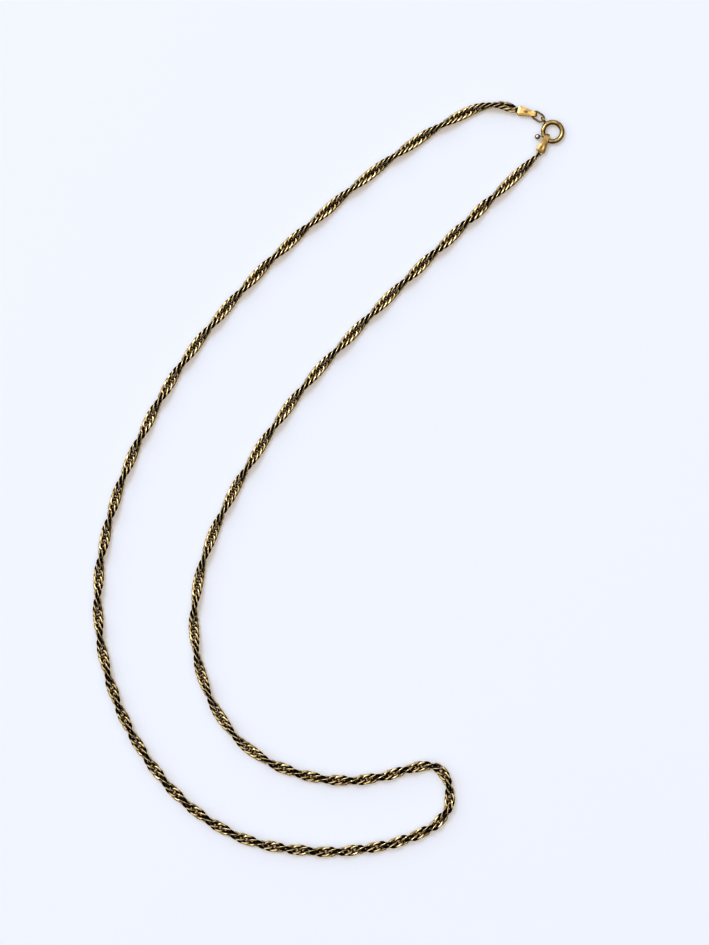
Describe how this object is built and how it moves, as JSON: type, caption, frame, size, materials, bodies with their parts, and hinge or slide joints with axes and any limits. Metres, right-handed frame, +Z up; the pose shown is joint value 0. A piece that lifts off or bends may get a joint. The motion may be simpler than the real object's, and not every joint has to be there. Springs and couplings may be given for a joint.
{
  "type": "twisted curb chain necklace with a spring ring clasp",
  "caption": "Gold neck chain of twisted curb links, closed by a spring ring clasp between folded end tags, lying in a long open loop.",
  "frame": {"origin": "on the surface that the necklace lies on, under the middle of the whole necklace", "axes": "+Z up from the surface; +Y along the loop's length, towards the clasp; +X across the loop, towards the clasp's side"},
  "size_m": [0.1064, 0.1708, 0.0024],
  "materials": {
    "chain_gold": "polished yellow gold links, darkened in the gaps",
    "tag_gold": "soft polished yellow gold sheet with fine rub marks",
    "clasp_gold": "polished yellow gold",
    "bolt_metal": "bright drawn wire, darker and greyer than the gold"
  },
  "bodies": {
    "necklace": {"chain": "chain_gold", "tag_jump_side": "tag_gold", "tag_clasp_side": "tag_gold", "jump_ring": "clasp_gold", "spring_ring": "clasp_gold"},
    "bolt": {"clasp_bolt": "bolt_metal"}
  },
  "joints": [
    {"name": "bolt_turn", "type": "hinge", "parent": "necklace", "child": "bolt", "pos_m": [0.05055, 0.07825, 0.00087], "axis": [0, 0, -1], "range_deg": [0, 40], "stiffness_Nm_per_rad": 0.002, "springref_deg": -14.32}
  ]
}
